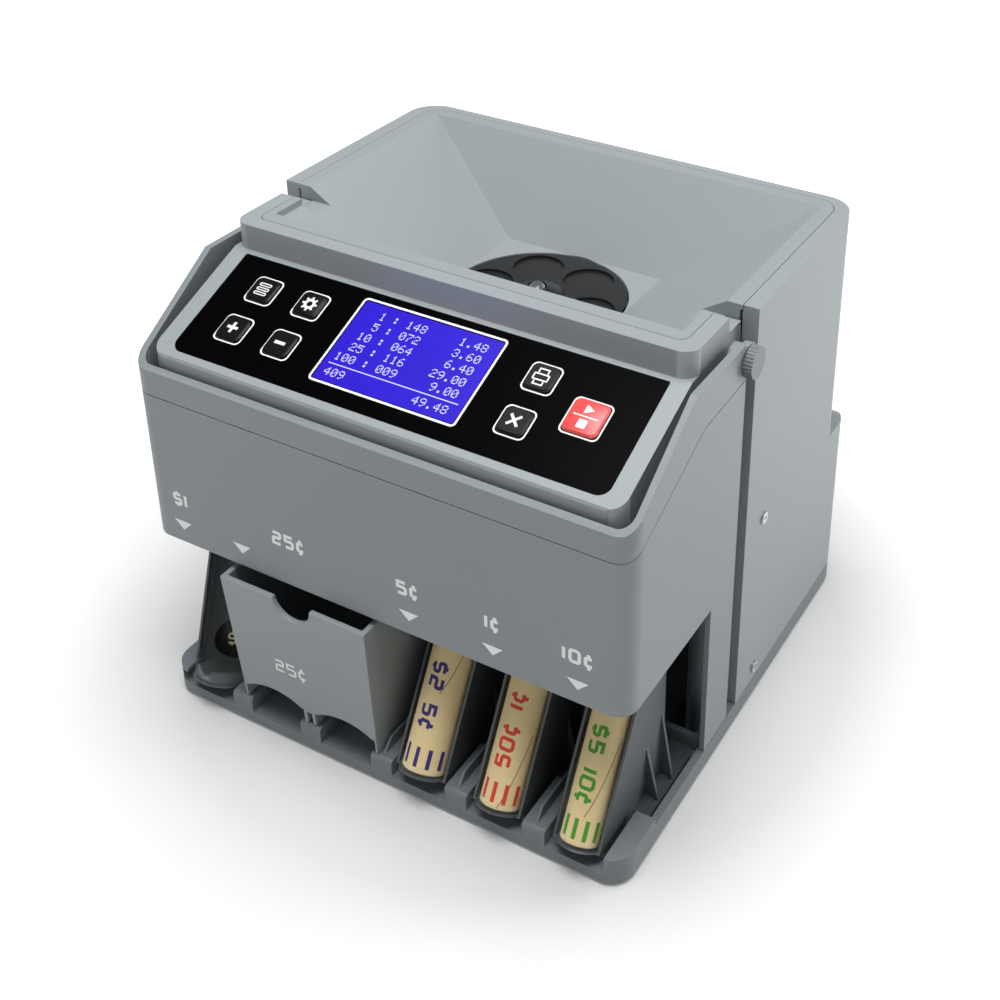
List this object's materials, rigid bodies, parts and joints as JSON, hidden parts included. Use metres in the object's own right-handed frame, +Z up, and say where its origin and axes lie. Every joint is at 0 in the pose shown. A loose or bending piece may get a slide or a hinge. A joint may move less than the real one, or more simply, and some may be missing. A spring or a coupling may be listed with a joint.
{
  "type": "coin sorting machine",
  "caption": "Desktop coin sorter with an open hopper, a sloped display and key panel, a lift-up front cover, a pull-out coin bin and leaning tubes that fill paper wrappers.",
  "frame": {"origin": "on the floor under the middle of the machine", "axes": "+Z up, +X to the operator's right, -Y towards the operator, where the coin bays are"},
  "size_m": [0.2796, 0.2696, 0.248],
  "materials": {
    "housing": "fine moulded texture",
    "cover": "fine moulded texture",
    "tray": "fine moulded texture",
    "hopper": "smooth moulded",
    "tube": "fine moulded texture",
    "bin": "fine moulded texture",
    "dark_plastic": "smooth moulded",
    "overlay": "printed polyester film",
    "display": "lit liquid-crystal display",
    "key_black": "moulded key cap",
    "key_red": "moulded key cap",
    "clear": "clear moulded plastic",
    "kraft": "kraft paper",
    "board": "glass-fibre circuit board",
    "steel": "bent sheet",
    "coated_steel": "powder coated sheet",
    "bright_steel": "turned and plated",
    "bronze": "sintered bush",
    "motor": "drawn can",
    "rubber": "moulded"
  },
  "bodies": {
    "base": {"base_tray": "tray", "rubber_feet": "rubber", "rear_housing": "housing", "head_housing": "housing", "hopper_funnel": "hopper", "panel_overlay": "overlay", "lcd_window": "display", "lcd_module": "board", "key_board": "board", "chassis_sides": "coated_steel", "feed_shelf": "steel", "disc_bearing": "bronze", "drive_motor": "motor", "drive_belt": "rubber", "sorting_track": "steel", "chute_block": "tube", "sensor_bar": "dark_plastic", "transport_belt": "rubber", "main_board": "board", "power_supply": "steel", "power_inlet": "dark_plastic", "power_switch": "dark_plastic", "housing_screws": "bright_steel"},
    "cover": {"cover_band": "cover", "cover_skirt": "cover"},
    "screw_left": {"pivot_screw_left": "tray"},
    "screw_right": {"pivot_screw_right": "tray"},
    "bin": {"quarter_bin": "bin"},
    "dollar_holder": {"tube_dollar": "tube", "sleeve_dollar": "clear"},
    "nickel_holder": {"tube_nickel": "tube", "sleeve_nickel": "clear", "wrapper_nickel": "kraft"},
    "penny_holder": {"tube_penny": "tube", "sleeve_penny": "clear", "wrapper_penny": "kraft"},
    "dime_holder": {"tube_dime": "tube", "sleeve_dime": "clear", "wrapper_dime": "kraft"},
    "disc": {"feed_disc": "dark_plastic", "disc_spindle": "bright_steel", "disc_pulley": "dark_plastic"},
    "motor_wheel": {"motor_pulley": "dark_plastic"},
    "drive_roll": {"drive_roller": "rubber"},
    "idler_roll": {"idler_roller": "rubber"},
    "rocker": {"switch_rocker": "dark_plastic"},
    "key_batch_cap": {"key_batch": "key_black"},
    "key_set_cap": {"key_set": "key_black"},
    "key_plus_cap": {"key_plus": "key_black"},
    "key_minus_cap": {"key_minus": "key_black"},
    "key_print_cap": {"key_print": "key_black"},
    "key_clear_cap": {"key_clear": "key_black"},
    "key_start_cap": {"key_start": "key_red"}
  },
  "joints": [
    {"name": "cover_hinge", "type": "hinge", "parent": "base", "child": "cover", "pos_m": [0, -0.0175, 0.226], "axis": [-1, 0, 0], "range_deg": [0, 70]},
    {"name": "screw_left_turn", "type": "hinge", "parent": "base", "child": "screw_left", "pos_m": [0, -0.0175, 0.226], "axis": [-1, 0, 0], "continuous": true},
    {"name": "screw_right_turn", "type": "hinge", "parent": "base", "child": "screw_right", "pos_m": [0, -0.0175, 0.226], "axis": [1, 0, 0], "continuous": true},
    {"name": "bin_slide", "type": "slide", "parent": "base", "child": "bin", "axis": [0, -1, 0], "range_m": [0, 0.07]},
    {"name": "dollar_lift", "type": "slide", "parent": "base", "child": "dollar_holder", "axis": [0, 0, 1], "range_m": [0, 0.012]},
    {"name": "nickel_lift", "type": "slide", "parent": "base", "child": "nickel_holder", "axis": [0, 0, 1], "range_m": [0, 0.012]},
    {"name": "penny_lift", "type": "slide", "parent": "base", "child": "penny_holder", "axis": [0, 0, 1], "range_m": [0, 0.012]},
    {"name": "dime_lift", "type": "slide", "parent": "base", "child": "dime_holder", "axis": [0, 0, 1], "range_m": [0, 0.012]},
    {"name": "key_batch_press", "type": "slide", "parent": "base", "child": "key_batch_cap", "axis": [0, 0.3907, -0.9205], "range_m": [0, 0.0009], "stiffness_N_per_m": 300, "springref_m": -0.0005},
    {"name": "key_set_press", "type": "slide", "parent": "base", "child": "key_set_cap", "axis": [0, 0.3907, -0.9205], "range_m": [0, 0.0009], "stiffness_N_per_m": 300, "springref_m": -0.0005},
    {"name": "key_plus_press", "type": "slide", "parent": "base", "child": "key_plus_cap", "axis": [0, 0.3907, -0.9205], "range_m": [0, 0.0009], "stiffness_N_per_m": 300, "springref_m": -0.0005},
    {"name": "key_minus_press", "type": "slide", "parent": "base", "child": "key_minus_cap", "axis": [0, 0.3907, -0.9205], "range_m": [0, 0.0009], "stiffness_N_per_m": 300, "springref_m": -0.0005},
    {"name": "key_print_press", "type": "slide", "parent": "base", "child": "key_print_cap", "axis": [0, 0.3907, -0.9205], "range_m": [0, 0.0009], "stiffness_N_per_m": 300, "springref_m": -0.0005},
    {"name": "key_clear_press", "type": "slide", "parent": "base", "child": "key_clear_cap", "axis": [0, 0.3907, -0.9205], "range_m": [0, 0.0009], "stiffness_N_per_m": 300, "springref_m": -0.0005},
    {"name": "key_start_press", "type": "slide", "parent": "base", "child": "key_start_cap", "axis": [0, 0.3907, -0.9205], "range_m": [0, 0.0009], "stiffness_N_per_m": 300, "springref_m": -0.0005},
    {"name": "disc_spin", "type": "hinge", "parent": "base", "child": "disc", "pos_m": [0, 0.02, 0.2], "axis": [0, 0, 1], "continuous": true},
    {"name": "motor_spin", "type": "hinge", "parent": "base", "child": "motor_wheel", "pos_m": [0, 0.078, 0.1756], "axis": [0, 0, 1], "continuous": true},
    {"name": "drive_roll_spin", "type": "hinge", "parent": "base", "child": "drive_roll", "pos_m": [-0.1, -0.0675, 0.1682], "axis": [0, 1, 0], "continuous": true},
    {"name": "idler_roll_spin", "type": "hinge", "parent": "base", "child": "idler_roll", "pos_m": [0.1, -0.0675, 0.1682], "axis": [0, 1, 0], "continuous": true},
    {"name": "power_rocker", "type": "hinge", "parent": "base", "child": "rocker", "pos_m": [-0.0472, 0.1285, 0.0462], "axis": [1, 0, 0], "range_deg": [-8, 8]}
  ],
  "couplings": [
    {"joint": "motor_spin", "follows": "disc_spin", "ratio": 3.3333},
    {"joint": "drive_roll_spin", "follows": "disc_spin", "ratio": 2},
    {"joint": "idler_roll_spin", "follows": "disc_spin", "ratio": 2}
  ]
}
